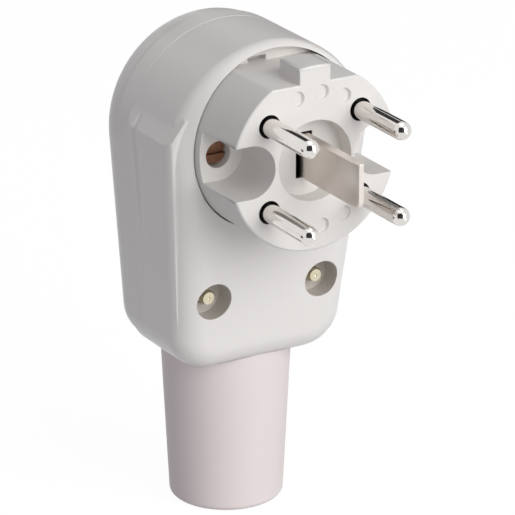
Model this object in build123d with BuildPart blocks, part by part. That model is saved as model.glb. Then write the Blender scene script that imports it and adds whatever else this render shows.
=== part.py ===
from build123d import *
from math import cos, hypot, radians, tan
import os

os.makedirs("parts", exist_ok=True)

# An angled five-pin plug. The pins point to -Y and the cable leaves towards -Z.
# The origin is the centre of the pin pattern, on the front face of the pin carrier.
# A depth is a distance behind that face, so it is a Y value.

# Round contact pins
pin_dia = 4.8
pin_length = 21.0
pin_spacing_x = 26.0
pin_spacing_z = 22.2
pin_collar_dia = 9.8
pin_collar_thick = 2.5
pin_head_dia = 8.4
pin_head_length = 10.0
pin_root_dia = 5.1
pin_gap = 0.3
wire_hole_dia = 4.2

# Earth blade
blade_thick = 2.4
blade_height = 11.2
blade_length = 21.4
blade_tip_bevel = 0.55
blade_tip_taper = 2.6
blade_tip_corner = 1.3
blade_shoulder_height = 15.6
blade_tail_length = 10.0
slot_gap = 1.1

# Pin carrier
carrier_rim = 1.5
carrier_length = 27.0
carrier_edge = 0.4
flat_height = 20.1
flat_length = 22.0
key_width = 9.0
key_length = 9.6
key_top_radius = 24.6
recess_dia = 20.8
recess_depth = 5.3
notch_radius = 6.85
notch_depth = 16.0
notch_bore_dia = 6.9
notch_bore_depth = 20.4
latch_width = 5.2
latch_height = 1.3
latch_offset = -3.6
latch_depth = 2.5

# Retaining plate behind the carrier
plate_thick = 5.0
plate_margin = 0.9

# Screws that hold the carrier to the front shell
carrier_screw_inset = 5.3
carrier_screw_dia = 3.3
screw_dia = 4.0
screw_head_dia = 6.0
screw_head_height = 2.4
screw_slot_width = 1.0
screw_slot_depth = 1.1
carrier_screw_length = 18.0
carrier_boss_radius = 4.5
carrier_boss_length = 10.0
carrier_rib_thick = 4.0

# Shells
parting_depth = 44.0
front_depth = 17.5
front_tilt = 6.5
front_round = 7.5
arch_margin = 4.9
arch_centre = -3.4
side_taper = 4.3
shell_bottom = -62.5
corner_radius = 11.0
wall = 2.4
bevel_share = 0.6
floor_wall = 3.0
mouth_depth = 5.5
skirt_height = 5.8
shoulder_step = 0.6
cover_height = 17.5
cover_round = 9.0
lip_length = 2.0
lip_thick = 1.1
lip_clearance = 0.15
collar_tube_wall = 1.9

# Grip pads on the sides of the front shell: flat, standing out where the arch curves away
pad_height = 0.45
pad_setback = 3.6
pad_extra_taper = 0.65
pad_top = 2.0
pad_bottom = -46.0
pad_bevel_angle = 34
pad_bevel_height = 6.5
pad_top_slope = 3.0

# Screws that join the shells, seen from the front in their pockets
shell_screw_spacing = 31.6
shell_screw_level = -41.8
pocket_dia = 9.75
pocket_floor = 28.5
pocket_wall = 1.7
shell_boss_radius = 4.6
shell_screw_tip = 25.2
shell_screw_seat_height = 7.0
shell_head_dia = 7.0
shell_head_height = 2.6
shell_head_gap = 0.5

# Cable sleeve
sleeve_bottom = -105.4
sleeve_top_radius = 17.25
sleeve_bottom_radius = 14.9
sleeve_edge = 1.6
sleeve_flange_radius = 14.8
sleeve_flange_thick = 3.5
sleeve_neck_radius = 12.6
cable_bore_dia = 17.0
cable_bore_lip = 1.2

# Cord clamp
clamp_level = -31.0
clamp_width = 9.0
clamp_thick = 3.0
clamp_inner_radius = 8.3
clamp_foot = 8.0
clamp_drop = 1.0
clamp_post_radius = 3.4
clamp_screw_dia = 3.5
clamp_screw_length = 12.0
clamp_head_dia = 6.4
cradle_thick = 2.5
cradle_spacing = 6.5
cradle_radius = 8.6
cradle_width = 22.0

# Terminal screws
terminal_screw_length = 5.0
washer_size = 8.4
washer_thick = 1.6

# Fits
fit = 0.3
thread_gap = 0.1

# Values that follow from the driving dimensions
carrier_radius = hypot(pin_spacing_x, pin_spacing_z) / 2 + pin_collar_dia / 2 + carrier_rim
carrier_dia = 2 * carrier_radius
carrier_screw_spacing = 2 * (carrier_radius - carrier_screw_inset)
arch_radius = carrier_radius + arch_margin
bore_radius = carrier_radius + fit
collar_back = carrier_length + pin_collar_thick
plate_back = carrier_length + plate_thick
head_back = plate_back + pin_head_length
terminal_depth = plate_back + pin_head_length / 2
pin_radius = pin_dia / 2
screw_hole_dia = screw_dia + 2 * thread_gap
screw_clear_dia = screw_dia + 2 * fit
carrier_screw_clear_dia = carrier_screw_dia + 2 * fit
shoulder_depth = parting_depth + skirt_height
cover_depth = parting_depth + cover_height
shell_screw_seat = parting_depth + shell_screw_seat_height
sleeve_axis = parting_depth
clamp_plane = parting_depth - clamp_drop
mouth_seat = shell_bottom + mouth_depth
mouth_top = mouth_seat + floor_wall
shell_span = 2 * arch_radius
pin_places = {
    "pin_top_left": (-pin_spacing_x / 2, pin_spacing_z / 2),
    "pin_top_right": (pin_spacing_x / 2, pin_spacing_z / 2),
    "pin_bottom_left": (-pin_spacing_x / 2, -pin_spacing_z / 2),
    "pin_bottom_right": (pin_spacing_x / 2, -pin_spacing_z / 2),
}
carrier_screw_places = [(side * carrier_screw_spacing / 2, 0) for side in (-1, 1)]
shell_screw_places = [(side * shell_screw_spacing / 2, shell_screw_level) for side in (-1, 1)]
clamp_reach = clamp_inner_radius + clamp_thick + clamp_foot / 2
clamp_places = [(side * clamp_reach, clamp_level) for side in (-1, 1)]
rear_view = Plane(origin=(0, 0, 0), x_dir=(-1, 0, 0), z_dir=(0, 1, 0))
front_plane = Plane(
    origin=(0, front_depth, 0), x_dir=(1, 0, 0), z_dir=Vector(0, -1, 0).rotate(Axis.X, front_tilt)
)


def at_depth(depth):
    """A sketch plane at a depth: local x is X, local y is Z and its normal points to the pins."""
    return Plane.XZ.offset(-depth)


def arch_outline(inset, bottom, corner):
    """The shells' outline seen from the front: an arch, tapering sides and rounded lower corners."""
    radius = arch_radius - inset
    arch_sweep = 180 + 2 * side_taper
    with BuildSketch() as outline:
        with BuildLine():
            arch = CenterArc((0, arch_centre), radius, -side_taper, arch_sweep)
            drop = (arch @ 0).Y - bottom
            direction = (-90 - side_taper, -90 + side_taper)
            right = PolarLine(arch @ 0, drop, direction[0], length_mode=LengthMode.VERTICAL)
            left = PolarLine(arch @ 1, drop, direction[1], length_mode=LengthMode.VERTICAL)
            Line(right @ 1, left @ 1)
        make_face()
        fillet(outline.vertices().group_by(Axis.Y)[0], corner)
    return outline.sketch


def front_block(inset, bottom):
    """The front shell's solid form, drawn in by an inset, with its tilted front and rounded front edge."""
    with BuildPart() as block:
        with BuildSketch(at_depth(parting_depth)):
            add(arch_outline(inset, bottom, corner_radius - inset))
        extrude(amount=parting_depth)
        split(bisect_by=front_plane.offset(-inset), keep=Keep.BOTTOM)
        front_edges = block.faces().sort_by(Axis.Y)[0].edges()
        if inset:
            chamfer(front_edges, (front_round - inset) * bevel_share)
        else:
            fillet(front_edges, front_round)
    return block.part


def cover_block(inset, bottom):
    """The rear cover's solid form behind the parting plane, drawn in by an inset, with its domed back."""
    dome_inset = inset + shoulder_step
    with BuildPart() as block:
        with BuildSketch(at_depth(parting_depth)):
            add(arch_outline(dome_inset, bottom + shoulder_step, corner_radius - dome_inset))
        extrude(amount=-(cover_depth - inset - parting_depth))
        back_edges = block.faces().sort_by(Axis.Y)[-1].edges()
        if inset:
            chamfer(back_edges, (cover_round - inset) * bevel_share)
        else:
            fillet(back_edges, cover_round)
        with BuildSketch(at_depth(parting_depth)):
            add(arch_outline(inset, bottom, corner_radius - inset))
        extrude(amount=-(shoulder_depth - parting_depth))
    return block.part


def parting_rim(outer_inset, inner_inset, start, end):
    """A thin rim that follows the outline near the parting plane, between two depths."""
    with BuildPart() as rim:
        with BuildSketch(at_depth(end)):
            add(arch_outline(outer_inset, mouth_top, corner_radius - outer_inset))
            add(arch_outline(inner_inset, mouth_top, corner_radius - inner_inset), mode=Mode.SUBTRACT)
        extrude(amount=end - start)
    return rim.part


def grip_pads():
    """Flat raised pads on both sides of the front shell, bevelled at the top and fading out downwards."""
    slope = tan(radians(side_taper + pad_extra_taper))
    centre_reach = (arch_radius + pad_height) / cos(radians(side_taper))
    top = pad_top + pad_bevel_height
    top_reach = centre_reach + (top - arch_centre) * slope
    bottom_reach = centre_reach + (pad_bottom - arch_centre) * slope
    bevel_dir = Vector(1, 0, 0).rotate(Axis.Y, -pad_bevel_angle)
    bevel_point = (centre_reach + (pad_top - arch_centre) * slope, parting_depth, pad_top)
    edge_dir = Vector(0, -1, 0).rotate(Axis.X, -pad_top_slope)
    with BuildPart() as pads:
        with BuildSketch(at_depth(parting_depth)):
            with BuildLine():
                Polyline(
                    (0, pad_bottom),
                    (bottom_reach, pad_bottom),
                    (top_reach, top),
                    (0, top),
                    close=True,
                )
            make_face()
        extrude(amount=parting_depth)
        split(bisect_by=front_plane.offset(pad_height), keep=Keep.BOTTOM)
        fillet(pads.faces().sort_by(Axis.Y)[0].edges().sort_by(Axis.X)[-1], front_round + pad_height)
        split(bisect_by=front_plane.offset(-pad_setback), keep=Keep.BOTTOM)
        split(bisect_by=Plane(origin=bevel_point, x_dir=edge_dir, z_dir=bevel_dir), keep=Keep.BOTTOM)
        mirror(about=Plane.YZ)
    return pads.part


def slotted_screw(place, seat, turn, length, dia, head_dia, head_height):
    """A cheese-head screw whose head stands on a seat. Turn is the plane that the head faces."""
    with BuildPart(turn.offset(seat)) as screw:
        with Locations(place):
            Cylinder(head_dia / 2, head_height, align=(Align.CENTER, Align.CENTER, Align.MIN))
            Cylinder(dia / 2, length, align=(Align.CENTER, Align.CENTER, Align.MAX))
        top = screw.faces().sort_by(Axis(turn.origin, turn.z_dir))[-1]
        with BuildSketch(Plane(origin=top.center(), x_dir=turn.x_dir, z_dir=turn.z_dir)):
            Rectangle(2 * head_dia, screw_slot_width)
        extrude(amount=-screw_slot_depth, mode=Mode.SUBTRACT)
    return screw.part


# Pin carrier: a round body with a flat, a key, side notches with screw holes and a centre recess
with BuildPart() as pin_carrier:
    with BuildSketch(at_depth(carrier_length)):
        Circle(carrier_radius)
    extrude(amount=carrier_length)
    with BuildSketch(at_depth(flat_length)):
        with Locations((0, flat_height)):
            Rectangle(carrier_dia, carrier_dia, align=(Align.CENTER, Align.MIN))
    extrude(amount=flat_length, mode=Mode.SUBTRACT)
    with BuildSketch(at_depth(key_length)):
        with Locations((0, flat_height / 2)):
            Rectangle(key_width, flat_height, align=(Align.CENTER, Align.MIN))
        Circle(key_top_radius, mode=Mode.INTERSECT)
    extrude(amount=key_length)
    chamfer(pin_carrier.faces().sort_by(Axis.Y)[0].outer_wire().edges(), carrier_edge)
    # Side notches, open to the rim, with a screw hole in the floor of each
    with BuildSketch(at_depth(notch_depth)):
        for side in (-1, 1):
            with Locations((side * (carrier_screw_spacing / 2 + carrier_radius / 2), 0)):
                Rectangle(carrier_radius, 2 * notch_radius)
        with Locations(*carrier_screw_places):
            Circle(notch_radius)
    extrude(amount=notch_depth, mode=Mode.SUBTRACT)
    with BuildSketch(at_depth(notch_bore_depth)):
        with Locations(*carrier_screw_places):
            Circle(notch_bore_dia / 2)
    extrude(amount=notch_bore_depth, mode=Mode.SUBTRACT)
    with BuildSketch(at_depth(carrier_length)):
        with Locations(*carrier_screw_places):
            Circle(carrier_screw_clear_dia / 2)
    extrude(amount=carrier_length, mode=Mode.SUBTRACT)
    # Centre recess with the slot of the earth blade
    with BuildSketch(at_depth(recess_depth)):
        Circle(recess_dia / 2)
    extrude(amount=recess_depth, mode=Mode.SUBTRACT)
    with BuildSketch(at_depth(carrier_length)):
        Rectangle(blade_thick + 2 * slot_gap, blade_height + 2 * fit)
    extrude(amount=carrier_length, mode=Mode.SUBTRACT)
    # Pin holes, in which the pins float a little
    with BuildSketch(at_depth(carrier_length)):
        with Locations(*pin_places.values()):
            Circle(pin_root_dia / 2 + pin_gap)
    extrude(amount=carrier_length, mode=Mode.SUBTRACT)
    # Latch slot where the flat ends
    with BuildSketch(at_depth(flat_length + latch_depth)):
        with Locations((latch_offset, flat_height + latch_height / 2)):
            Rectangle(latch_width, latch_height)
    extrude(amount=latch_depth, mode=Mode.SUBTRACT)
pin_carrier.part.label = "pin_carrier"
export_step(pin_carrier.part, "parts/pin_carrier.step")

# Retaining plate: traps the collars of the pins and the shoulder of the blade
plate_radius = carrier_radius - plate_margin
with BuildPart() as retaining_plate:
    with BuildSketch(at_depth(plate_back)):
        Circle(plate_radius)
        with Locations((0, flat_height - plate_margin)):
            Rectangle(carrier_dia, carrier_dia, align=(Align.CENTER, Align.MIN), mode=Mode.SUBTRACT)
        with Locations(*pin_places.values()):
            Circle(pin_head_dia / 2 + fit, mode=Mode.SUBTRACT)
        with Locations(*carrier_screw_places):
            Circle(carrier_screw_clear_dia / 2, mode=Mode.SUBTRACT)
        Rectangle(blade_thick + 2 * fit, blade_height + 2 * fit, mode=Mode.SUBTRACT)
    extrude(amount=plate_thick)
    with BuildSketch(at_depth(collar_back)):
        with Locations(*pin_places.values()):
            Circle(pin_collar_dia / 2 + fit)
        Rectangle(blade_thick + 2 * fit, blade_shoulder_height + 2 * fit)
    extrude(amount=pin_collar_thick, mode=Mode.SUBTRACT)
retaining_plate.part.label = "retaining_plate"
export_step(retaining_plate.part, "parts/retaining_plate.step")

# Round pins: domed tip, shank, thicker root, trapped collar and a terminal head with its wire hole
for pin_name, (pin_x, pin_z) in pin_places.items():
    with BuildPart() as pin:
        with BuildSketch(Plane.XY.offset(pin_z)):
            with BuildLine():
                tip = CenterArc((pin_x, pin_radius - pin_length), pin_radius, -90, 90)
                Polyline(
                    tip @ 1,
                    (pin_x + pin_radius, 0),
                    (pin_x + pin_root_dia / 2, 0),
                    (pin_x + pin_root_dia / 2, carrier_length),
                    (pin_x + pin_collar_dia / 2, carrier_length),
                    (pin_x + pin_collar_dia / 2, collar_back),
                    (pin_x + pin_head_dia / 2, collar_back),
                    (pin_x + pin_head_dia / 2, head_back),
                    (pin_x, head_back),
                    tip @ 0,
                )
            make_face()
        revolve(axis=Axis((pin_x, 0, pin_z), (0, 1, 0)))
        with BuildSketch(Plane.XY.offset(pin_z - pin_head_dia)):
            with Locations((pin_x, terminal_depth)):
                Circle(wire_hole_dia / 2)
        extrude(amount=2 * pin_head_dia, mode=Mode.SUBTRACT)
        with BuildSketch(at_depth(head_back)):
            with Locations((pin_x, pin_z)):
                Circle(screw_hole_dia / 2)
        extrude(amount=head_back - terminal_depth, mode=Mode.SUBTRACT)
    pin.part.label = pin_name
    export_step(pin.part, f"parts/{pin_name}.step")

# Earth blade: a flat contact with a bevelled tip, a trapped shoulder and a drilled tail
blade_back = plate_back + blade_tail_length
with BuildPart() as earth_blade:
    with BuildSketch(Plane.YZ.offset(-blade_thick / 2)):
        with Locations((-blade_length, 0)):
            blade_side = Rectangle(blade_length + blade_back, blade_height, align=(Align.MIN, Align.CENTER))
        fillet(blade_side.vertices().group_by(Axis.Y)[0], blade_tip_corner)
        with Locations((carrier_length, 0)):
            Rectangle(pin_collar_thick, blade_shoulder_height, align=(Align.MIN, Align.CENTER))
    extrude(amount=blade_thick)
    with BuildSketch(Plane.XY):
        with BuildLine():
            Polyline(
                (blade_thick / 2 - blade_tip_bevel, -blade_length),
                (blade_thick / 2, blade_tip_taper - blade_length),
                (blade_thick / 2, blade_back),
                (0, blade_back),
                (0, -blade_length),
                close=True,
            )
        make_face()
        mirror(about=Plane.YZ)
    extrude(amount=blade_shoulder_height, both=True, mode=Mode.INTERSECT)
    with BuildSketch(Plane.YZ.offset(-blade_thick)):
        with Locations((terminal_depth, 0)):
            Circle(screw_hole_dia / 2)
    extrude(amount=2 * blade_thick, mode=Mode.SUBTRACT)
earth_blade.part.label = "earth_blade"
export_step(earth_blade.part, "parts/earth_blade.step")

# Square washer that clamps the earth wire on the blade's tail
with BuildPart() as earth_clamp_washer:
    with BuildSketch(Plane.YZ.offset(blade_thick / 2)):
        with Locations((terminal_depth, 0)):
            Rectangle(washer_size, washer_size)
            Circle(screw_clear_dia / 2, mode=Mode.SUBTRACT)
    extrude(amount=washer_thick)
    chamfer(earth_clamp_washer.edges().filter_by(Axis.X).group_by(SortBy.LENGTH)[0], washer_thick / 2)
earth_clamp_washer.part.label = "earth_clamp_washer"
export_step(earth_clamp_washer.part, "parts/earth_clamp_washer.step")

# Screw of the earth terminal, driven along X
earth_terminal_screw = slotted_screw(
    (terminal_depth, 0), blade_thick / 2 + washer_thick, Plane.YZ,
    terminal_screw_length, screw_dia, screw_head_dia, screw_head_height,
)
earth_terminal_screw.label = "earth_terminal_screw"
export_step(earth_terminal_screw, "parts/earth_terminal_screw.step")

# Screws of the pin terminals, driven from behind
with BuildPart() as pin_terminal_screws:
    for pin_x, pin_z in pin_places.values():
        add(slotted_screw(
            (-pin_x, pin_z), head_back, rear_view,
            terminal_screw_length, screw_dia, screw_head_dia, screw_head_height,
        ))
pin_terminal_screws.part.label = "pin_terminal_screws"
export_step(pin_terminal_screws.part, "parts/pin_terminal_screws.step")

# Screws of the carrier, driven from the front through the floors of the notches
with BuildPart() as carrier_screws:
    for place in carrier_screw_places:
        add(slotted_screw(
            place, -notch_bore_depth, Plane.XZ,
            carrier_screw_length, carrier_screw_dia, screw_head_dia, screw_head_height,
        ))
carrier_screws.part.label = "carrier_screws"
export_step(carrier_screws.part, "parts/carrier_screws.step")

# Screws that join the shells, driven from behind, their ends standing in the front pockets
with BuildPart() as housing_screws:
    for place_x, place_z in shell_screw_places:
        add(slotted_screw(
            (-place_x, place_z), shell_screw_seat, rear_view,
            shell_screw_seat - shell_screw_tip, screw_dia, shell_head_dia, shell_head_height,
        ))
housing_screws.part.label = "housing_screws"
export_step(housing_screws.part, "parts/housing_screws.step")

# Screws of the cord clamp, driven from behind
with BuildPart() as cord_clamp_screws:
    for place_x, place_z in clamp_places:
        add(slotted_screw(
            (-place_x, place_z), clamp_plane + clamp_thick, rear_view,
            clamp_screw_length, clamp_screw_dia, clamp_head_dia, screw_head_height,
        ))
cord_clamp_screws.part.label = "cord_clamp_screws"
export_step(cord_clamp_screws.part, "parts/cord_clamp_screws.step")

# Cord clamp: an arched saddle with two feet
with BuildPart() as cord_clamp:
    with BuildSketch(Plane.XY.offset(clamp_level - clamp_width / 2)):
        with Locations((0, clamp_plane)):
            Circle(clamp_inner_radius + clamp_thick)
            Rectangle(2 * clamp_reach + clamp_foot, clamp_thick, align=(Align.CENTER, Align.MIN))
            Circle(clamp_inner_radius, mode=Mode.SUBTRACT)
            Rectangle(shell_span, shell_span, align=(Align.CENTER, Align.MAX), mode=Mode.SUBTRACT)
    extrude(amount=clamp_width)
    with BuildSketch(at_depth(clamp_plane + clamp_thick)):
        with Locations(*clamp_places):
            Circle(clamp_screw_dia / 2 + fit)
    extrude(amount=clamp_thick, mode=Mode.SUBTRACT)
cord_clamp.part.label = "cord_clamp"
export_step(cord_clamp.part, "parts/cord_clamp.step")

# Cable sleeve: a tapered tube with a neck and a flange held in the mouth of the shells
flange_bottom = mouth_top + shoulder_step + fit
with BuildPart() as cable_sleeve:
    with BuildSketch(Plane.YZ):
        with BuildLine():
            Polyline(
                (sleeve_axis + cable_bore_dia / 2, sleeve_bottom),
                (sleeve_axis + sleeve_bottom_radius, sleeve_bottom),
                (sleeve_axis + sleeve_top_radius, mouth_seat),
                (sleeve_axis + sleeve_neck_radius, mouth_seat),
                (sleeve_axis + sleeve_neck_radius, flange_bottom),
                (sleeve_axis + sleeve_flange_radius, flange_bottom),
                (sleeve_axis + sleeve_flange_radius, flange_bottom + sleeve_flange_thick),
                (sleeve_axis + cable_bore_dia / 2, flange_bottom + sleeve_flange_thick),
                close=True,
            )
        make_face()
    revolve(axis=Axis((0, sleeve_axis, 0), (0, 0, 1)))
    rim_edges = cable_sleeve.edges().group_by(Axis.Z)[0].sort_by(SortBy.RADIUS)
    fillet(rim_edges[-1], sleeve_edge)
    chamfer(rim_edges[0], cable_bore_lip)
cable_sleeve.part.label = "cable_sleeve"
export_step(cable_sleeve.part, "parts/cable_sleeve.step")

# Mouth that both shells leave open for the sleeve: room for its shoulder, its neck and its flange
with BuildPart() as sleeve_mouth:
    with BuildSketch(Plane.XY.offset(shell_bottom)):
        with Locations((0, sleeve_axis)):
            Circle(sleeve_top_radius + thread_gap)
    extrude(amount=mouth_depth)
    with BuildSketch(Plane.XY.offset(mouth_seat)):
        with Locations((0, sleeve_axis)):
            Circle(sleeve_neck_radius + fit)
    extrude(amount=floor_wall + shoulder_step)
    with BuildSketch(Plane.XY.offset(flange_bottom - fit)):
        with Locations((0, sleeve_axis)):
            Circle(sleeve_flange_radius + fit)
    extrude(amount=sleeve_flange_thick + 2 * fit)

# Fittings moulded inside the front shell: the carrier's tube, bosses, pocket wells, posts and cradles
boss_end = plate_back + carrier_boss_length
with BuildPart() as front_fittings:
    with BuildSketch(at_depth(plate_back)):
        Circle(bore_radius + collar_tube_wall)
    extrude(amount=plate_back)
    with BuildSketch(at_depth(boss_end)):
        with Locations(*carrier_screw_places):
            Circle(carrier_boss_radius)
        for side in (-1, 1):
            with Locations((side * (carrier_screw_spacing / 2 + arch_radius / 2), 0)):
                Rectangle(arch_radius, carrier_rib_thick)
    extrude(amount=carrier_boss_length)
    with BuildSketch(at_depth(pocket_floor + floor_wall)):
        with Locations(*shell_screw_places):
            Circle(pocket_dia / 2 + pocket_wall)
    extrude(amount=pocket_floor + floor_wall)
    with BuildSketch(at_depth(parting_depth)):
        with Locations(*shell_screw_places):
            Circle(shell_boss_radius)
    extrude(amount=parting_depth)
    with BuildSketch(at_depth(clamp_plane)):
        with Locations(*clamp_places):
            Circle(clamp_post_radius)
    extrude(amount=clamp_plane)
    for level in (clamp_level - cradle_spacing, clamp_level + cradle_spacing):
        with BuildSketch(Plane.XY.offset(level - cradle_thick / 2)):
            with Locations((0, clamp_plane)):
                Rectangle(cradle_width, clamp_plane, align=(Align.CENTER, Align.MAX))
            with Locations((0, sleeve_axis)):
                Circle(cradle_radius, mode=Mode.SUBTRACT)
        extrude(amount=cradle_thick)
    add(front_block(wall / 2, shell_bottom + wall / 2), mode=Mode.INTERSECT)

# Front shell
with BuildPart() as front_housing:
    add(front_block(0, shell_bottom))
    add(grip_pads())
    add(front_block(wall, mouth_top), mode=Mode.SUBTRACT)
    add(front_fittings.part)
    # Bore of the carrier
    with BuildSketch(at_depth(plate_back)):
        Circle(bore_radius)
    extrude(amount=shell_span, mode=Mode.SUBTRACT)
    # Screw holes and front pockets
    with BuildSketch(at_depth(boss_end)):
        with Locations(*carrier_screw_places):
            Circle(carrier_screw_dia / 2 + thread_gap)
    extrude(amount=carrier_boss_length, mode=Mode.SUBTRACT)
    with BuildSketch(at_depth(pocket_floor)):
        with Locations(*shell_screw_places):
            Circle(pocket_dia / 2)
    extrude(amount=pocket_floor, mode=Mode.SUBTRACT)
    with BuildSketch(at_depth(parting_depth)):
        with Locations(*shell_screw_places):
            Circle(screw_hole_dia / 2)
    extrude(amount=parting_depth, mode=Mode.SUBTRACT)
    with BuildSketch(at_depth(clamp_plane)):
        with Locations(*clamp_places):
            Circle(clamp_screw_dia / 2 + thread_gap)
    extrude(amount=clamp_screw_length, mode=Mode.SUBTRACT)
    # Rebate for the rear cover's lip, and half of the sleeve's mouth
    rebate_start = parting_depth - lip_length - lip_clearance
    add(parting_rim(wall - lip_thick - lip_clearance, wall, rebate_start, parting_depth), mode=Mode.SUBTRACT)
    add(sleeve_mouth.part, mode=Mode.SUBTRACT)
front_housing.part.label = "front_housing"
export_step(front_housing.part, "parts/front_housing.step")

# Screw bosses moulded inside the rear cover
with BuildPart() as cover_bosses:
    with BuildSketch(at_depth(parting_depth)):
        with Locations(*shell_screw_places):
            Circle(shell_boss_radius)
    extrude(amount=-(cover_depth - parting_depth))
    add(cover_block(wall / 2, shell_bottom + wall / 2), mode=Mode.INTERSECT)

# Rear cover with its screw bosses and the lip that locates it in the front shell
with BuildPart() as rear_cover:
    add(cover_block(0, shell_bottom))
    add(cover_block(wall, mouth_top), mode=Mode.SUBTRACT)
    add(cover_bosses.part)
    add(parting_rim(wall - lip_thick, wall, parting_depth - lip_length, parting_depth))
    with BuildSketch(at_depth(cover_depth)):
        with Locations(*shell_screw_places):
            Circle(shell_head_dia / 2 + shell_head_gap)
    extrude(amount=cover_depth - shell_screw_seat, mode=Mode.SUBTRACT)
    with BuildSketch(at_depth(cover_depth)):
        with Locations(*shell_screw_places):
            Circle(screw_clear_dia / 2)
    extrude(amount=cover_depth - parting_depth, mode=Mode.SUBTRACT)
    add(sleeve_mouth.part, mode=Mode.SUBTRACT)
rear_cover.part.label = "rear_cover"
export_step(rear_cover.part, "parts/rear_cover.step")
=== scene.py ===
import bmesh
import bpy
import math
from contextlib import contextmanager
from itertools import product
from mathutils import Matrix, Vector
from mathutils.bvhtree import BVHTree


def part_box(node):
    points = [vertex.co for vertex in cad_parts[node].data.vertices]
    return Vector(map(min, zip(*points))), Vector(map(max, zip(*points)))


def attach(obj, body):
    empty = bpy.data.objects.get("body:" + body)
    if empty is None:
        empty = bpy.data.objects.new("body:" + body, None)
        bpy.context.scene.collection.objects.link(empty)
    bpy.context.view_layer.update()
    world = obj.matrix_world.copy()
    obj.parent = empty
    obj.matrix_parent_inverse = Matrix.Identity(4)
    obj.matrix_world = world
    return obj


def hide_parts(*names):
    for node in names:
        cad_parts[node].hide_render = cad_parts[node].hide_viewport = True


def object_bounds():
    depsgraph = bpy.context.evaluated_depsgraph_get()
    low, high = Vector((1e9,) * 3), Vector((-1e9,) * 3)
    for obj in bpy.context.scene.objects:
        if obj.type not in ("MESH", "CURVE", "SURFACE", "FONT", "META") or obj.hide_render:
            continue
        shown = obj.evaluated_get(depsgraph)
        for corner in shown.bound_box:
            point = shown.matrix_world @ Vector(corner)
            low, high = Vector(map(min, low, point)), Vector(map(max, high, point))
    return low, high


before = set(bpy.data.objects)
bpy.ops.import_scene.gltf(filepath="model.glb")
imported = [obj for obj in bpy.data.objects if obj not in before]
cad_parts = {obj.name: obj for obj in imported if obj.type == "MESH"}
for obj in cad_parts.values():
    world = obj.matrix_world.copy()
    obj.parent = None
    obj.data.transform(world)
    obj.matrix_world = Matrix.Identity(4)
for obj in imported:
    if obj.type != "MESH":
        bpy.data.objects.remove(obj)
cadLow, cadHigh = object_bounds()
mm = 0.001
bothSides = (-1, 1)  # left and right of the plug
rearward = Vector((0, 1, 0))
upward = Vector((0, 0, 1))
print("frame loaded:", len(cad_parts), "nodes")


# small helpers for colours, nodes and objects
screenCurve = {"foot": 10, "slope": 12.92, "lift": 0.055, "power": 2.4}
nodeGrid = {"columns": 6, "width": 220, "height": 320}


def linearPart(value):  # one screen value, 0 to 255, as scene-linear light
    share = value / 255
    if value <= screenCurve["foot"]:
        return share / screenCurve["slope"]
    return ((share + screenCurve["lift"]) / (1 + screenCurve["lift"])) ** screenCurve["power"]


def paint(red, green, blue):  # a colour as it shows on screen
    return (linearPart(red), linearPart(green), linearPart(blue), 1.0)


def feed(tree, socket, value):  # links an output to the socket, or sets a plain value on it
    if isinstance(value, bpy.types.NodeSocket):
        tree.links.new(value, socket)
    else:
        socket.default_value = value


def addNode(tree, kind, inputs=None, **settings):  # nodes stand in rows, in the order they are made
    row, column = divmod(len(tree.nodes), nodeGrid["columns"])
    node = tree.nodes.new(kind)
    node.location = (column * nodeGrid["width"], -row * nodeGrid["height"])
    for key, value in settings.items():
        setattr(node, key, value)
    for key, value in (inputs or {}).items():
        feed(tree, node.inputs[key], value)
    return node


def mathNode(tree, operation, first, second):
    return addNode(tree, "ShaderNodeMath", {0: first, 1: second}, operation=operation).outputs[0]


def linkObject(name, data):
    thing = bpy.data.objects.new(name, data)
    bpy.context.scene.collection.objects.link(thing)
    return thing


# finishes: a slow drift of tone, uneven gloss and a fine relief, each from its own noise
noiseSpan = (0.2, 0.8)  # noise values outside this are cut off
sameAllWays = (1, 1, 1)


def objectNoise(tree, scale, detail, stretch):  # noise on Object coordinates
    coords = addNode(tree, "ShaderNodeTexCoord")
    mapping = addNode(tree, "ShaderNodeMapping", {"Vector": coords.outputs["Object"], "Scale": stretch})
    noise = addNode(tree, "ShaderNodeTexNoise", {
        "Vector": mapping.outputs["Vector"], "Scale": scale, "Detail": detail,
    })
    return noise.outputs["Fac"]


def rangeNode(tree, value, span, ends):
    spread = addNode(tree, "ShaderNodeMapRange", {
        "Value": value, "From Min": span[0], "From Max": span[1], "To Min": ends[0], "To Max": ends[1],
    })
    return spread.outputs["Result"]


def rampColour(tree, factor, colours):
    ramp = addNode(tree, "ShaderNodeValToRGB", {"Fac": factor})
    for element, place, colour in zip(ramp.color_ramp.elements, noiseSpan, colours):
        element.position = place
        element.color = colour
    return ramp.outputs["Color"]


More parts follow.
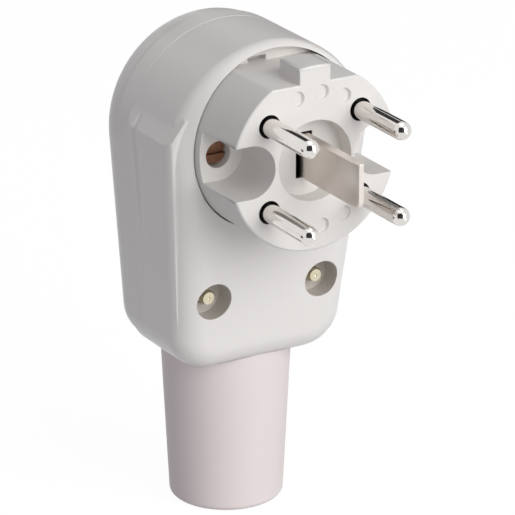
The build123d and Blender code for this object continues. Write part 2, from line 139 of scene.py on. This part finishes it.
def paintShadeZone(tree, colour, zone):  # painted shade: a round zone along Y, the same on both sides and above and below, where the colour is mixed to a darker one
    soft = 0.1 * mm
    radius, front, rear = zone["radius"], zone["front"], zone["rear"]
    middle = (zone["across"], 0, zone["level"])
    place = addNode(tree, "ShaderNodeTexCoord").outputs["Object"]
    folded = addNode(tree, "ShaderNodeVectorMath", {0: place}, operation="ABSOLUTE")
    flat = addNode(tree, "ShaderNodeVectorMath", {0: folded.outputs[0], 1: (1, 0, 1)}, operation="MULTIPLY")
    reach = addNode(tree, "ShaderNodeVectorMath", {0: flat.outputs[0], 1: middle}, operation="DISTANCE")
    depth = addNode(tree, "ShaderNodeSeparateXYZ", {0: place}).outputs["Y"]
    near = rangeNode(tree, reach.outputs["Value"], (radius, radius + soft), (1, 0))
    behind = rangeNode(tree, depth, (front - soft, front), (0, 1))
    before = rangeNode(tree, depth, (rear, rear + soft), (1, 0))
    inside = mathNode(tree, "MULTIPLY", near, mathNode(tree, "MULTIPLY", behind, before))
    # sockets 0, 6 and 7 are the factor and the two colours, output 2 is the mixed colour
    mix = addNode(tree, "ShaderNodeMix", {0: inside, 6: colour, 7: zone["colour"]}, data_type="RGBA")
    return mix.outputs[2]


def makeFinish(name, look):
    material = bpy.data.materials.new(name)
    material.use_nodes = True
    tree = material.node_tree
    shader = tree.nodes["Principled BSDF"]
    tone = objectNoise(tree, look["toneScale"], look["toneDetail"], look["toneStretch"])
    gloss = objectNoise(tree, look["glossScale"], look["glossDetail"], sameAllWays)
    relief = objectNoise(tree, look["reliefScale"], look["reliefDetail"], look["reliefStretch"])
    colour = rampColour(tree, tone, (look["shade"], look["base"]))
    # painted shade: each zone's darker colour stands in for the shade inside a hollow
    for zone in look["shadeZones"]:
        colour = paintShadeZone(tree, colour, zone)
    bump = addNode(tree, "ShaderNodeBump", {
        "Height": relief, "Distance": look["reliefDepth"], "Strength": look["reliefStrength"],
    })
    roughness = rangeNode(tree, gloss, noiseSpan, look["roughness"])
    feed(tree, shader.inputs["Base Color"], colour)
    feed(tree, shader.inputs["Roughness"], roughness)
    feed(tree, shader.inputs["Normal"], bump.outputs["Normal"])
    for key, value in look["constants"].items():
        shader.inputs[key].default_value = value
    return material


# painted shade: darker colour painted into places that light hardly reaches: the pockets, the pins' holes,
# the blade's slot and what stands in them
shellScrewHead = 3.5 * mm  # radius of the heads, used again with the screws
pocketLow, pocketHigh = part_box("housing_screws")
pinLow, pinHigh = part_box("pin_top_right")
plugRear = cadHigh.y
# painted shade in the housing's screw pockets
pocketShadeZone = {
    "across": pocketHigh.x - shellScrewHead, "level": -(pocketLow.z + pocketHigh.z) / 2, "radius": 4.9 * mm,
    "front": 0, "rear": pocketHigh.y - 9 * mm, "colour": paint(196, 190, 183),
}
# painted shade in the carrier's pin holes
pinShadeZone = {
    "across": (pinLow.x + pinHigh.x) / 2, "level": (pinLow.z + pinHigh.z) / 2, "radius": 2.95 * mm,
    "front": -1 * mm, "rear": plugRear, "colour": paint(38, 34, 33),
}
# painted shade on the pins where they sit inside their holes
pinRootShadeZone = {**pinShadeZone, "radius": 6 * mm, "front": -0.1 * mm, "colour": paint(30, 28, 28)}
# painted shade in the blade's slot, on the carrier and on the blade inside it
bladeSlotShadeZone = {
    "across": 0, "level": 0, "radius": 9 * mm,
    "front": 5.5 * mm, "rear": plugRear, "colour": paint(34, 31, 30),
}

# moulded plastics and the rubber
moulded = {"toneDetail": 1.0, "glossDetail": 2.0, "reliefDetail": 2.0, "reliefStretch": sameAllWays}
housingLook = {
    **moulded, "base": paint(229, 226, 222), "shade": paint(226, 223, 220), "roughness": (0.29, 0.35),
    "toneScale": 26, "toneStretch": (1, 1, 0.6), "glossScale": 90, "reliefScale": 2600,
    "reliefDepth": 0.01 * mm, "reliefStrength": 0.08, "shadeZones": [pocketShadeZone], "constants": {"IOR": 1.5},
}
carrierLook = {
    **moulded, "base": paint(223, 220, 216), "shade": paint(219, 216, 212), "roughness": (0.34, 0.42),
    "toneScale": 40, "toneStretch": (1, 0.6, 1), "glossScale": 120, "reliefScale": 3000,
    "reliefDepth": 0.01 * mm, "reliefStrength": 0.1, "shadeZones": [pinShadeZone, bladeSlotShadeZone],
    "constants": {"IOR": 1.5},
}
sleeveLook = {
    **moulded, "base": paint(234, 224, 223), "shade": paint(229, 218, 217), "roughness": (0.46, 0.56),
    "toneScale": 45, "toneStretch": (1, 1, 0.25), "glossScale": 110, "reliefScale": 2200,
    "reliefDepth": 0.02 * mm, "reliefStrength": 0.15, "shadeZones": [], "constants": {"IOR": 1.46},
}

# plated and bare metal: cloudy tone and hairlines, which run along the pins and the blade
metal = {
    "toneDetail": 4.0, "toneStretch": sameAllWays, "glossDetail": 5.0, "reliefDetail": 2.0,
    "reliefDepth": 0.01 * mm, "constants": {"Metallic": 1.0},
}
turnedScrew = {**metal, "reliefScale": 2600, "reliefStretch": sameAllWays, "shadeZones": []}
nickelLook = {
    **metal, "base": paint(228, 224, 220), "shade": paint(214, 210, 206), "roughness": (0.05, 0.10),
    "toneScale": 120, "glossScale": 300, "reliefScale": 1800, "reliefStretch": (1, 0.04, 1),
    "reliefDepth": 0.005 * mm, "reliefStrength": 0.05, "shadeZones": [pinRootShadeZone],
}
bladeLook = {
    **metal, "base": paint(236, 228, 222), "shade": paint(222, 213, 207), "roughness": (0.28, 0.4),
    "toneScale": 90, "glossScale": 260, "reliefScale": 2400, "reliefStretch": (1, 0.05, 1),
    "reliefStrength": 0.12, "shadeZones": [bladeSlotShadeZone],
}
brassLook = {
    **turnedScrew, "base": paint(226, 220, 200), "shade": paint(206, 194, 164), "roughness": (0.29, 0.4),
    "toneScale": 420, "glossScale": 500, "reliefStrength": 0.1,
}
bronzeLook = {
    **turnedScrew, "base": paint(150, 112, 90), "shade": paint(118, 84, 64), "roughness": (0.38, 0.55),
    "toneScale": 600, "glossScale": 400, "reliefStrength": 0.15,
}
zincLook = {
    **turnedScrew, "base": paint(196, 198, 202), "shade": paint(166, 168, 174), "roughness": (0.29, 0.4),
    "toneScale": 500, "glossScale": 400, "reliefStrength": 0.1,
}
housingPlastic = makeFinish("housingPlastic", housingLook)
carrierPlastic = makeFinish("carrierPlastic", carrierLook)
sleeveRubber = makeFinish("sleeveRubber", sleeveLook)
pinNickel = makeFinish("pinNickel", nickelLook)
bladeNickel = makeFinish("bladeNickel", bladeLook)
screwBrass = makeFinish("screwBrass", brassLook)
screwBronze = makeFinish("screwBronze", bronzeLook)
screwZinc = makeFinish("screwZinc", zincLook)
print("finishes made")


def bakeModifiers(thing):  # the evaluated shape becomes the object's own mesh
    graph = bpy.context.evaluated_depsgraph_get()
    baked = bpy.data.meshes.new_from_object(thing.evaluated_get(graph), depsgraph=graph)
    thing.modifiers.clear()
    thing.data = baked


# screws and discs are grown from points by node trees
def nodeGroup(name, lengths):
    group = bpy.data.node_groups.new(name, "GeometryNodeTree")
    inputs = [("Points", "Geometry"), *((label, "Float") for label in lengths)]
    inputs += [("Turn", "Rotation"), ("Finish", "Material")]
    for label, kind in inputs:
        group.interface.new_socket(label, in_out="INPUT", socket_type="NodeSocket" + kind)
    group.interface.new_socket("Geometry", in_out="OUTPUT", socket_type="NodeSocketGeometry")
    return group, addNode(group, "NodeGroupInput").outputs


def liftNode(group, mesh, height):  # moves a shape along the screw's own axis
    shift = addNode(group, "ShaderNodeCombineXYZ", {"Z": height})
    lift = {"Geometry": mesh.outputs["Mesh"], "Translation": shift.outputs[0]}
    return addNode(group, "GeometryNodeTransform", lift).outputs["Geometry"]


def cutNode(group, solid, cutter):
    pair = {"Mesh 1": solid, "Mesh 2": cutter}
    return addNode(group, "GeometryNodeMeshBoolean", pair, operation="DIFFERENCE").outputs["Mesh"]


def finishTree(group, given, shape):
    place = addNode(group, "GeometryNodeInstanceOnPoints", {
        "Points": given["Points"], "Instance": shape, "Rotation": given["Turn"],
    })
    realize = addNode(group, "GeometryNodeRealizeInstances", {"Geometry": place.outputs["Instances"]})
    coat = addNode(group, "GeometryNodeSetMaterial", {
        "Geometry": realize.outputs["Geometry"], "Material": given["Finish"],
    })
    addNode(group, "NodeGroupOutput", {"Geometry": coat.outputs["Geometry"]})


screwForm = {  # the last six are shares of the head radius, the pitch and the dimple
    "headSides": 56, "shankSides": 40, "dimpleSides": 24, "turnSteps": 28, "ridgeCorners": 4,
    "slotReach": 3.0, "ridgeSink": 0.55, "ridgeSize": 0.5, "plainTip": 0.8, "plainEnds": 1.6,
    "dimpleOut": 0.25,
}


def buildScrewTree(form):  # the head sits on the point, the shank runs down from it
    lengths = ["Head Radius", "Head Height", "Slot Width", "Slot Depth"]
    lengths += ["Shank Radius", "Shank Length", "Pitch", "Tip Dimple"]
    group, given = nodeGroup("slottedScrew", lengths)
    headHeight, shankLength, pitch = given["Head Height"], given["Shank Length"], given["Pitch"]
    halfHead = mathNode(group, "MULTIPLY", headHeight, 0.5)

    head = addNode(group, "GeometryNodeMeshCylinder", {
        "Vertices": form["headSides"], "Radius": given["Head Radius"], "Depth": headHeight,
    })
    slotSize = addNode(group, "ShaderNodeCombineXYZ", {
        "X": mathNode(group, "MULTIPLY", given["Head Radius"], form["slotReach"]),
        "Y": given["Slot Width"], "Z": mathNode(group, "MULTIPLY", given["Slot Depth"], 2.0),
    })
    slot = addNode(group, "GeometryNodeMeshCube", {"Size": slotSize.outputs[0]})
    headSolid = cutNode(group, liftNode(group, head, halfHead), liftNode(group, slot, headHeight))

    ridgeSink = mathNode(group, "MULTIPLY", pitch, form["ridgeSink"])
    rootRadius = mathNode(group, "SUBTRACT", given["Shank Radius"], ridgeSink)
    shank = addNode(group, "GeometryNodeMeshCylinder", {
        "Vertices": form["shankSides"], "Radius": rootRadius,
        "Depth": mathNode(group, "ADD", shankLength, halfHead),
    })
    shankMiddle = mathNode(group, "MULTIPLY", mathNode(group, "SUBTRACT", halfHead, shankLength), 0.5)
    dimple = addNode(group, "GeometryNodeMeshCone", {
        "Vertices": form["dimpleSides"], "Radius Top": 0.0,
        "Radius Bottom": given["Tip Dimple"], "Depth": given["Tip Dimple"],
    })
    dimpleOut = mathNode(group, "MULTIPLY", given["Tip Dimple"], -form["dimpleOut"])
    dimpleFoot = mathNode(group, "SUBTRACT", dimpleOut, shankLength)
    shankSolid = cutNode(group, liftNode(group, shank, shankMiddle), liftNode(group, dimple, dimpleFoot))

    plainEnds = mathNode(group, "MULTIPLY", pitch, form["plainEnds"])
    threadLength = mathNode(group, "SUBTRACT", shankLength, plainEnds)
    helix = addNode(group, "GeometryNodeCurveSpiral", {
        "Resolution": form["turnSteps"], "Rotations": mathNode(group, "DIVIDE", threadLength, pitch),
        "Start Radius": rootRadius, "End Radius": rootRadius, "Height": threadLength,
    })
    ridge = addNode(group, "GeometryNodeCurvePrimitiveCircle", {
        "Resolution": form["ridgeCorners"], "Radius": mathNode(group, "MULTIPLY", pitch, form["ridgeSize"]),
    })
    thread = addNode(group, "GeometryNodeCurveToMesh", {
        "Curve": helix.outputs["Curve"], "Profile Curve": ridge.outputs["Curve"], "Fill Caps": True,
    })
    plainTip = mathNode(group, "MULTIPLY", pitch, form["plainTip"])
    threadSolid = liftNode(group, thread, mathNode(group, "SUBTRACT", plainTip, shankLength))

    join = addNode(group, "GeometryNodeJoinGeometry")
    for solid in (headSolid, shankSolid, threadSolid):
        group.links.new(solid, join.inputs["Geometry"])
    finishTree(group, given, join.outputs["Geometry"])
    return group


def buildDiscTree(sides):
    group, given = nodeGroup("flatDisc", ["Radius", "Depth"])
    disc = addNode(group, "GeometryNodeMeshCylinder", {
        "Vertices": sides, "Radius": given["Radius"], "Depth": given["Depth"],
    })
    finishTree(group, given, disc.outputs["Mesh"])
    return group


def growFromPoints(name, group, points, values):
    seed = bpy.data.meshes.new(name)
    seed.from_pydata(points, [], [])
    thing = linkObject(name, seed)
    grow = thing.modifiers.new("grow", "NODES")
    grow.node_group = group
    for item in group.interface.items_tree:
        if item.in_out == "INPUT" and item.name in values:
            grow[item.identifier] = values[item.name]
    bakeModifiers(thing)
    return thing


def shadeSmooth(mesh, angle):  # edges that fold more than the angle stay sharp
    mesh.shade_smooth()
    mesh.set_sharp_from_angle(angle=math.radians(angle))


def settle(thing, nodeName):  # hands a finished piece to the frame
    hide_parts(nodeName)
    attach(thing, "root")
    print("piece done:", thing.name, len(thing.data.polygons), "faces")


# copies of the solids, merged, with moulded or tumbled edges
mergeRules = {"weld": 0.002 * mm, "flatAngle": 0.05}
edgeRules = {
    "segments": 3, "narrowLean": 25, "straightLean": 150, "shortShare": 1.6, "sliver": 0.003 * mm,
    "sharpAngle": 42, "faceWeight": 50,
}
mouldedEdge = {"width": 0.2 * mm, "angle": 32}
tumbledEdge = {"width": 0.1 * mm, "angle": 32}


@contextmanager
def editing(mesh):
    shape = bmesh.new()
    shape.from_mesh(mesh)
    yield shape
    shape.to_mesh(mesh)
    shape.free()


def copySolid(nodeName):
    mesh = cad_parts[nodeName].data.copy()
    mesh.materials.clear()
    flatAngle = math.radians(mergeRules["flatAngle"])
    with editing(mesh) as shape:
        bmesh.ops.remove_doubles(shape, verts=shape.verts, dist=mergeRules["weld"])
        bmesh.ops.dissolve_limit(shape, angle_limit=flatAngle, verts=shape.verts, edges=shape.edges)
    return linkObject(nodeName + "Piece", mesh)


def cutWith(piece, cutter):
    cut = piece.modifiers.new("cut", "BOOLEAN")
    cut.operation = "DIFFERENCE"
    cut.solver = "EXACT"
    cut.object = cutter
    bakeModifiers(piece)
    bpy.data.objects.remove(cutter)


def surfaceOf(piece):  # for rays that find the piece's own surface
    shape = bmesh.new()
    shape.from_mesh(piece.data)
    skin = BVHTree.FromBMesh(shape)
    shape.free()
    return skin


def roomToBevel(edge, width):  # no short or nearly parallel neighbour that a bevel would run along
    for corner in edge.verts:
        along = edge.other_vert(corner).co - corner.co
        for other in corner.link_edges:
            if other is edge:
                continue
            lean = math.degrees(along.angle(other.other_vert(corner).co - corner.co))
            short = other.calc_length() < edgeRules["shortShare"] * width
            if lean < edgeRules["narrowLean"] or (short and lean < edgeRules["straightLean"]):
                return False
    return True


def roundEdges(piece, edge):
    with editing(piece.data) as shape:
        weight = shape.edges.layers.float.new("bevel_weight_edge")
        for side in shape.edges:
            folded = len(side.link_faces) == 2 and side.calc_face_angle(0) > math.radians(edge["angle"])
            if folded and roomToBevel(side, edge["width"]):
                side[weight] = 1.0
    bevel = piece.modifiers.new("edges", "BEVEL")
    bevel.width = edge["width"]
    bevel.segments = edgeRules["segments"]
    bevel.limit_method = "WEIGHT"
    bevel.use_clamp_overlap = False
    bakeModifiers(piece)
    with editing(piece.data) as shape:
        bmesh.ops.dissolve_degenerate(shape, dist=edgeRules["sliver"], edges=shape.edges)
    shadeSmooth(piece.data, edgeRules["sharpAngle"])
    even = piece.modifiers.new("even", "WEIGHTED_NORMAL")
    even.weight = edgeRules["faceWeight"]
    even.keep_sharp = True
    bakeModifiers(piece)


def finishPiece(piece, nodeName, finish, slotName, edge):
    roundEdges(piece, edge)
    piece.data.materials.clear()
    piece.data.materials.append(finish)
    settle(piece, nodeName)


# front housing: rounded rims on the bore and the pockets, and a groove behind each grip pad
carrierLow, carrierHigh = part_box("pin_carrier")
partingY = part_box("front_housing")[1].y
lipShape = {"clear": 0.03 * mm}
pocketLip = {**lipShape, "radius": 4.875 * mm, "width": 0.5 * mm, "front": 10 * mm, "steps": 72, "turns": 5}
boreLip = {
    **lipShape, "centre": (0, 0), "radius": carrierHigh.x + 0.3 * mm, "width": 1.1 * mm,
    "front": 5 * mm, "steps": 180, "turns": 6,
}
pocketCentres = [(side * pocketShadeZone["across"], -pocketShadeZone["level"]) for side in bothSides]
frontLips = [{**pocketLip, "centre": centre} for centre in pocketCentres] + [boreLip]
gripPad = {
    "rear": partingY - 5 * mm, "halfWidth": 1.3 * mm, "depth": 0.4 * mm, "clear": 0.02 * mm,
    "proud": 0.5 * mm, "top": 6 * mm, "bottom": -32 * mm, "rampTop": 2 * mm, "rampBottom": 24 * mm,
    "outside": 40 * mm, "steps": 60, "turns": 10,
}


def lipCutter(piece, lip):  # a ring that follows a round mouth and takes its sharp rim off
    skin = surfaceOf(piece)
    radius, width, front, clear = lip["radius"], lip["width"], lip["front"], lip["clear"]
    inside, outside = radius - width, radius + width
    middle = Vector((lip["centre"][0], 0, lip["centre"][1]))
    start = middle + rearward * front
    turns = [turn / lip["turns"] for turn in range(lip["turns"] + 1)]
    points = []
    for step in range(lip["steps"]):
        angle = 2 * math.pi * step / lip["steps"]
        out = Vector((math.cos(angle), 0, math.sin(angle)))
        rim = skin.ray_cast(start + out * (radius + clear), rearward)[0].y
        far = skin.ray_cast(start + out * outside, rearward)[0].y
        first, bend = Vector((outside, far - clear)), Vector((radius, rim))
        last = Vector((radius, rim + width))
        arc = [first * (1 - t) ** 2 + bend * 2 * t * (1 - t) + last * t ** 2 for t in turns]
        profile = [Vector((inside, front)), Vector((outside, front)), *arc, Vector((inside, rim + width))]
        points += [middle + out * p.x + rearward * p.y for p in profile]
    count = len(profile)
    faces = []
    for step in range(lip["steps"]):
        here = step * count
        there = (step + 1) % lip["steps"] * count
        for j in range(count):
            k = (j + 1) % count
            faces.append((here + j, there + j, there + k, here + k))
    mesh = bpy.data.meshes.new("lipCutter")
    mesh.from_pydata(points, [], faces)
    return linkObject("lipCutter", mesh)


def grooveCutter(piece, side, pad):  # follows the shell's own surface and runs out at both ends
    skin = surfaceOf(piece)
    inward = Vector((-side, 0, 0))
    rows, columns = pad["steps"], pad["turns"]
    outer, inner = [], []
    for row in range(rows + 1):
        level = pad["top"] + (pad["bottom"] - pad["top"]) * row / rows
        fade = min(1, (pad["top"] - level) / pad["rampTop"], (level - pad["bottom"]) / pad["rampBottom"])
        for column in range(columns + 1):
            offset = 2 * column / columns - 1
            start = Vector((side * pad["outside"], pad["rear"] + offset * pad["halfWidth"], level))
            foot = skin.ray_cast(start, inward)[0]
            outer.append(foot - inward * pad["proud"])
            inner.append(foot + inward * (pad["depth"] * fade * (1 - offset ** 2) - pad["clear"]))
    count, below = columns + 1, len(outer)
    faces = []
    for sheet, row, column in product((0, below), range(rows), range(columns)):
        corner = sheet + row * count + column
        faces.append((corner, corner + 1, corner + count + 1, corner + count))
    lastRow = rows * count
    border = list(range(count)) + [row * count + columns for row in range(1, rows + 1)]
    border += [lastRow + column for column in range(columns - 1, -1, -1)]
    border += [row * count for row in range(rows - 1, 0, -1)]
    for a, b in zip(border, border[1:] + border[:1]):
        faces.append((a, b, below + b, below + a))
    mesh = bpy.data.meshes.new("grooveCutter")
    mesh.from_pydata(outer + inner, [], faces)
    with editing(mesh) as shape:
        bmesh.ops.recalc_face_normals(shape, faces=shape.faces)
    return linkObject("grooveCutter", mesh)


frontShell = copySolid("front_housing")
for lip in frontLips:
    cutWith(frontShell, lipCutter(frontShell, lip))
for side in bothSides:
    cutWith(frontShell, grooveCutter(frontShell, side, gripPad))
finishPiece(frontShell, "front_housing", housingPlastic, "housing", mouldedEdge)

# rear cover: cross lines over the long strips of the back, so that a hole's rim shades only what is close
backStrips = {"reach": (4.3 * mm, 5 * mm), "facing": 0.8, "behind": plugRear - 2 * mm, "snap": 0.001 * mm}
holeLevel = -pocketShadeZone["level"]


def splitStrips(piece, level):
    with editing(piece.data) as shape:
        strips = [f for f in shape.faces if f.normal.y > backStrips["facing"]]
        strips = [f for f in strips if f.calc_center_median().y > backStrips["behind"]]
        edges = list(dict.fromkeys(e for f in strips for e in f.edges))
        corners = list(dict.fromkeys(v for f in strips for v in f.verts))
        line = {"plane_co": (0, 0, level), "plane_no": upward, "dist": backStrips["snap"]}
        bmesh.ops.bisect_plane(shape, geom=corners + edges + strips, **line)


rearShell = copySolid("rear_cover")
for side, reach in product(bothSides, backStrips["reach"]):
    splitStrips(rearShell, holeLevel + side * reach)
finishPiece(rearShell, "rear_cover", housingPlastic, "housing", mouldedEdge)

# pieces that only get their edges and finish
plainPieces = {
    "retaining_plate": (carrierPlastic, "carrier", mouldedEdge),
    "cord_clamp": (carrierPlastic, "carrier", mouldedEdge),
    "cable_sleeve": (sleeveRubber, "sleeve", mouldedEdge),
    "pin_top_left": (pinNickel, "contacts", tumbledEdge),
    "pin_top_right": (pinNickel, "contacts", tumbledEdge),
    "pin_bottom_left": (pinNickel, "contacts", tumbledEdge),
    "pin_bottom_right": (pinNickel, "contacts", tumbledEdge),
    "earth_blade": (bladeNickel, "contacts", tumbledEdge),
    "earth_clamp_washer": (screwZinc, "steel_screws", tumbledEdge),
}
for nodeName, dress in plainPieces.items():
    finishPiece(copySolid(nodeName), nodeName, *dress)

# pin carrier: round mould marks sunk into its face, a little tilted
faceMarks = {
    "radius": 1.9 * mm, "depth": 1.0 * mm, "tilt": 14.5, "sides": 48,
    "ring": 17.5 * mm, "angles": (62, 84, 107, 277, 299),
}
markAngles = [math.radians(angle) for angle in faceMarks["angles"]]
markPoints = [
    (faceMarks["ring"] * math.cos(angle), carrierLow.y, faceMarks["ring"] * math.sin(angle))
    for angle in markAngles
]
carrier = copySolid("pin_carrier")
markCutter = growFromPoints("markCutter", buildDiscTree(faceMarks["sides"]), markPoints, {
    "Radius": faceMarks["radius"], "Depth": faceMarks["depth"], "Finish": carrierPlastic,
    "Turn": (math.radians(90), 0, math.radians(faceMarks["tilt"])),
})
cutWith(carrier, markCutter)
finishPiece(carrier, "pin_carrier", carrierPlastic, "carrier", mouldedEdge)

# screws, placed from the solids that they stand in for: axis and end say where the heads are
headRear = {"turn": (math.radians(-90), 0, 0), "axis": 1, "end": 1}
headFront = {"turn": (math.radians(90), 0, 0), "axis": 1, "end": -1}
headRight = {"turn": (0, math.radians(90), 0), "axis": 0, "end": 1}
screwDetail = {"slotWidth": 1.0 * mm, "slotDepth": 1.1 * mm, "tipDimple": 0.6 * mm, "sharpAngle": 35}
screwSets = {
    "housing_screws": {
        **headRear, "spread": (0,), "finish": screwBrass, "slot": "brass_screws",
        "headRadius": shellScrewHead, "headHeight": 2.6 * mm, "shankRadius": 2.0 * mm, "pitch": 0.7 * mm,
    },
    "carrier_screws": {
        **headFront, "spread": (0,), "finish": screwBronze, "slot": "bronzed_screws",
        "headRadius": 3.0 * mm, "headHeight": 2.4 * mm, "shankRadius": 1.65 * mm, "pitch": 0.6 * mm,
    },
    "pin_terminal_screws": {
        **headRear, "spread": (0, 2), "finish": screwZinc, "slot": "steel_screws",
        "headRadius": 3.0 * mm, "headHeight": 2.4 * mm, "shankRadius": 2.0 * mm, "pitch": 0.7 * mm,
    },
    "cord_clamp_screws": {
        **headRear, "spread": (0,), "finish": screwZinc, "slot": "steel_screws",
        "headRadius": 3.2 * mm, "headHeight": 2.4 * mm, "shankRadius": 1.75 * mm, "pitch": 0.6 * mm,
    },
    "earth_terminal_screw": {
        **headRight, "spread": (), "finish": screwZinc, "slot": "steel_screws",
        "headRadius": 3.0 * mm, "headHeight": 2.4 * mm, "shankRadius": 2.0 * mm, "pitch": 0.7 * mm,
    },
}


def screwSeats(low, high, screw):  # places under the heads, worked out from the box of the whole set
    choices = [[middle] for middle in (low + high) / 2]
    for axis in screw["spread"]:
        choices[axis] = [low[axis] + screw["headRadius"], high[axis] - screw["headRadius"]]
    axis = screw["axis"]
    headEnd = high[axis] if screw["end"] > 0 else low[axis]
    choices[axis] = [headEnd - screw["end"] * screw["headHeight"]]
    return list(product(*choices))


screwTree = buildScrewTree(screwForm)
for nodeName, screw in screwSets.items():
    low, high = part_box(nodeName)
    wholeLength = high[screw["axis"]] - low[screw["axis"]]
    screws = growFromPoints(nodeName + "Piece", screwTree, screwSeats(low, high, screw), {
        "Head Radius": screw["headRadius"], "Head Height": screw["headHeight"],
        "Slot Width": screwDetail["slotWidth"], "Slot Depth": screwDetail["slotDepth"],
        "Shank Radius": screw["shankRadius"], "Shank Length": wholeLength - screw["headHeight"],
        "Pitch": screw["pitch"], "Tip Dimple": screwDetail["tipDimple"],
        "Turn": screw["turn"], "Finish": screw["finish"],
    })
    shadeSmooth(screws.data, screwDetail["sharpAngle"])
    settle(screws, nodeName)


# stage: what the camera and reflections see as white, and flat sheets that aren't part of the plug
def whiteRays(tree):
    rays = addNode(tree, "ShaderNodeLightPath").outputs
    seen = mathNode(tree, "MAXIMUM", rays["Is Camera Ray"], rays["Is Glossy Ray"])
    return mathNode(tree, "MAXIMUM", seen, rays["Is Transmission Ray"])


def blendShaders(tree, factor, first, second, outputKind):
    blend = addNode(tree, "ShaderNodeMixShader", {"Fac": factor, 1: first.outputs[0], 2: second.outputs[0]})
    addNode(tree, outputKind, {"Surface": blend.outputs[0]})


def addSheet(name, centre, across, rise, size, material):
    reachAcross, reachUp = across * (size[0] / 2), rise * (size[1] / 2)
    corners = [centre + reachAcross * x + reachUp * z for x, z in ((-1, -1), (1, -1), (1, 1), (-1, 1))]
    mesh = bpy.data.meshes.new(name)
    mesh.from_pydata(corners, [], [(0, 1, 2, 3)])
    mesh.materials.append(material)
    sheet = linkObject(name, mesh)
    return sheet


# floor under the sleeve: white to the eye, with the shadow kept
floorLook = {"size": (6.0, 6.0), "grey": paint(190, 190, 193), "glow": 1.1, "glowShare": 0.87}
white = (1, 1, 1, 1)
floorMaterial = bpy.data.materials.new("floorWhite")
floorMaterial.use_nodes = True
tree = floorMaterial.node_tree
tree.nodes.clear()
glowFactor = mathNode(tree, "MULTIPLY", whiteRays(tree), floorLook["glowShare"])
matte = addNode(tree, "ShaderNodeBsdfDiffuse", {"Color": floorLook["grey"]})
glow = addNode(tree, "ShaderNodeEmission", {"Color": white, "Strength": floorLook["glow"]})
blendShaders(tree, glowFactor, matte, glow, "ShaderNodeOutputMaterial")
floorCentre = Vector((0, 0, cadLow.z))
addSheet("floor", floorCentre, Vector((1, 0, 0)), Vector((0, 1, 0)), floorLook["size"], floorMaterial)

# dark cards that show only in reflections
darkCards = {
    "cardBehind": {"centre": (0.165, 0.21, 0.0), "size": (0.15, 0.24)},
    "cardAbove": {"centre": (0.12, 0.48, 0.34), "size": (0.3, 0.2)},
    "cardCamera": {"centre": (-0.5, -0.84, 0.38), "size": (1.5, 1.5)},
    "cardLeft": {"centre": (-0.23, 0.14, -0.09), "size": (0.17, 0.15)},
}
cardLook = {"colour": paint(24, 24, 26), "aim": (0, -0.01, 0)}
cardMaterial = bpy.data.materials.new("cardDark")
cardMaterial.use_nodes = True
cardMaterial.node_tree.nodes["Principled BSDF"].inputs["Base Color"].default_value = cardLook["colour"]
for name, card in darkCards.items():
    centre = Vector(card["centre"])
    facing = (Vector(cardLook["aim"]) - centre).normalized()
    across = facing.cross(upward).normalized()
    sheet = addSheet(name, centre, across, across.cross(facing), card["size"], cardMaterial)
    sheet.visible_camera = False
    sheet.visible_diffuse = False
    sheet.visible_shadow = False

# world: white to the eye and in reflections, a plain fill for everything else
worldLook = {"white": 1.0, "fill": 0.25, "tint": (0.95, 0.94, 1.0, 1)}
world = bpy.data.worlds.new("studio")
bpy.context.scene.world = world
world.use_nodes = True
tree = world.node_tree
tree.nodes.clear()
fill = addNode(tree, "ShaderNodeBackground", {"Color": worldLook["tint"], "Strength": worldLook["fill"]})
backdrop = addNode(tree, "ShaderNodeBackground", {"Color": white, "Strength": worldLook["white"]})
blendShaders(tree, whiteRays(tree), fill, backdrop, "ShaderNodeOutputWorld")

# lamps
lamps = {
    "keyLamp": {"from": (0.32, -1.15, 0.58), "size": 1.3, "power": 16.4},
    "sideLamp": {"from": (-0.75, -0.95, 0.15), "size": 0.6, "power": 1.7},
    "topLamp": {"from": (0.1, 0.0, 1.2), "size": 1.0, "power": 2.2},
}
lampAim = Vector((0, 0.02, -0.03))
for name, lamp in lamps.items():
    light = bpy.data.lights.new(name, "AREA")
    light.shape = "DISK"
    light.size = lamp["size"]
    light.energy = lamp["power"]
    holder = linkObject(name, light)
    holder.location = lamp["from"]
    holder.rotation_euler = (lampAim - Vector(lamp["from"])).to_track_quat("-Z", "Y").to_euler()

# camera at the photograph's angle
view = {
    "azimuth": -30.65, "elevation": 21.18, "distance": 0.95,
    "aim": (-16.45 * mm, 0, -22.18 * mm), "lens": 270.8, "sensor": 36,
}
azimuth, elevation = math.radians(view["azimuth"]), math.radians(view["elevation"])
right = Vector((math.cos(azimuth), math.sin(azimuth), 0))
back = right.cross(upward) * math.cos(elevation) + upward * math.sin(elevation)
camera = bpy.data.cameras.new("camera")
camera.lens = view["lens"]
camera.sensor_width = view["sensor"]
cameraObject = linkObject("camera", camera)
spot = Vector(view["aim"]) + back * view["distance"]
turned = Matrix((right, back.cross(right), back)).transposed().to_4x4()
cameraObject.matrix_world = Matrix.Translation(spot) @ turned
bpy.context.scene.camera = cameraObject
bpy.context.scene.view_settings.view_transform = "Standard"
print("stage set")
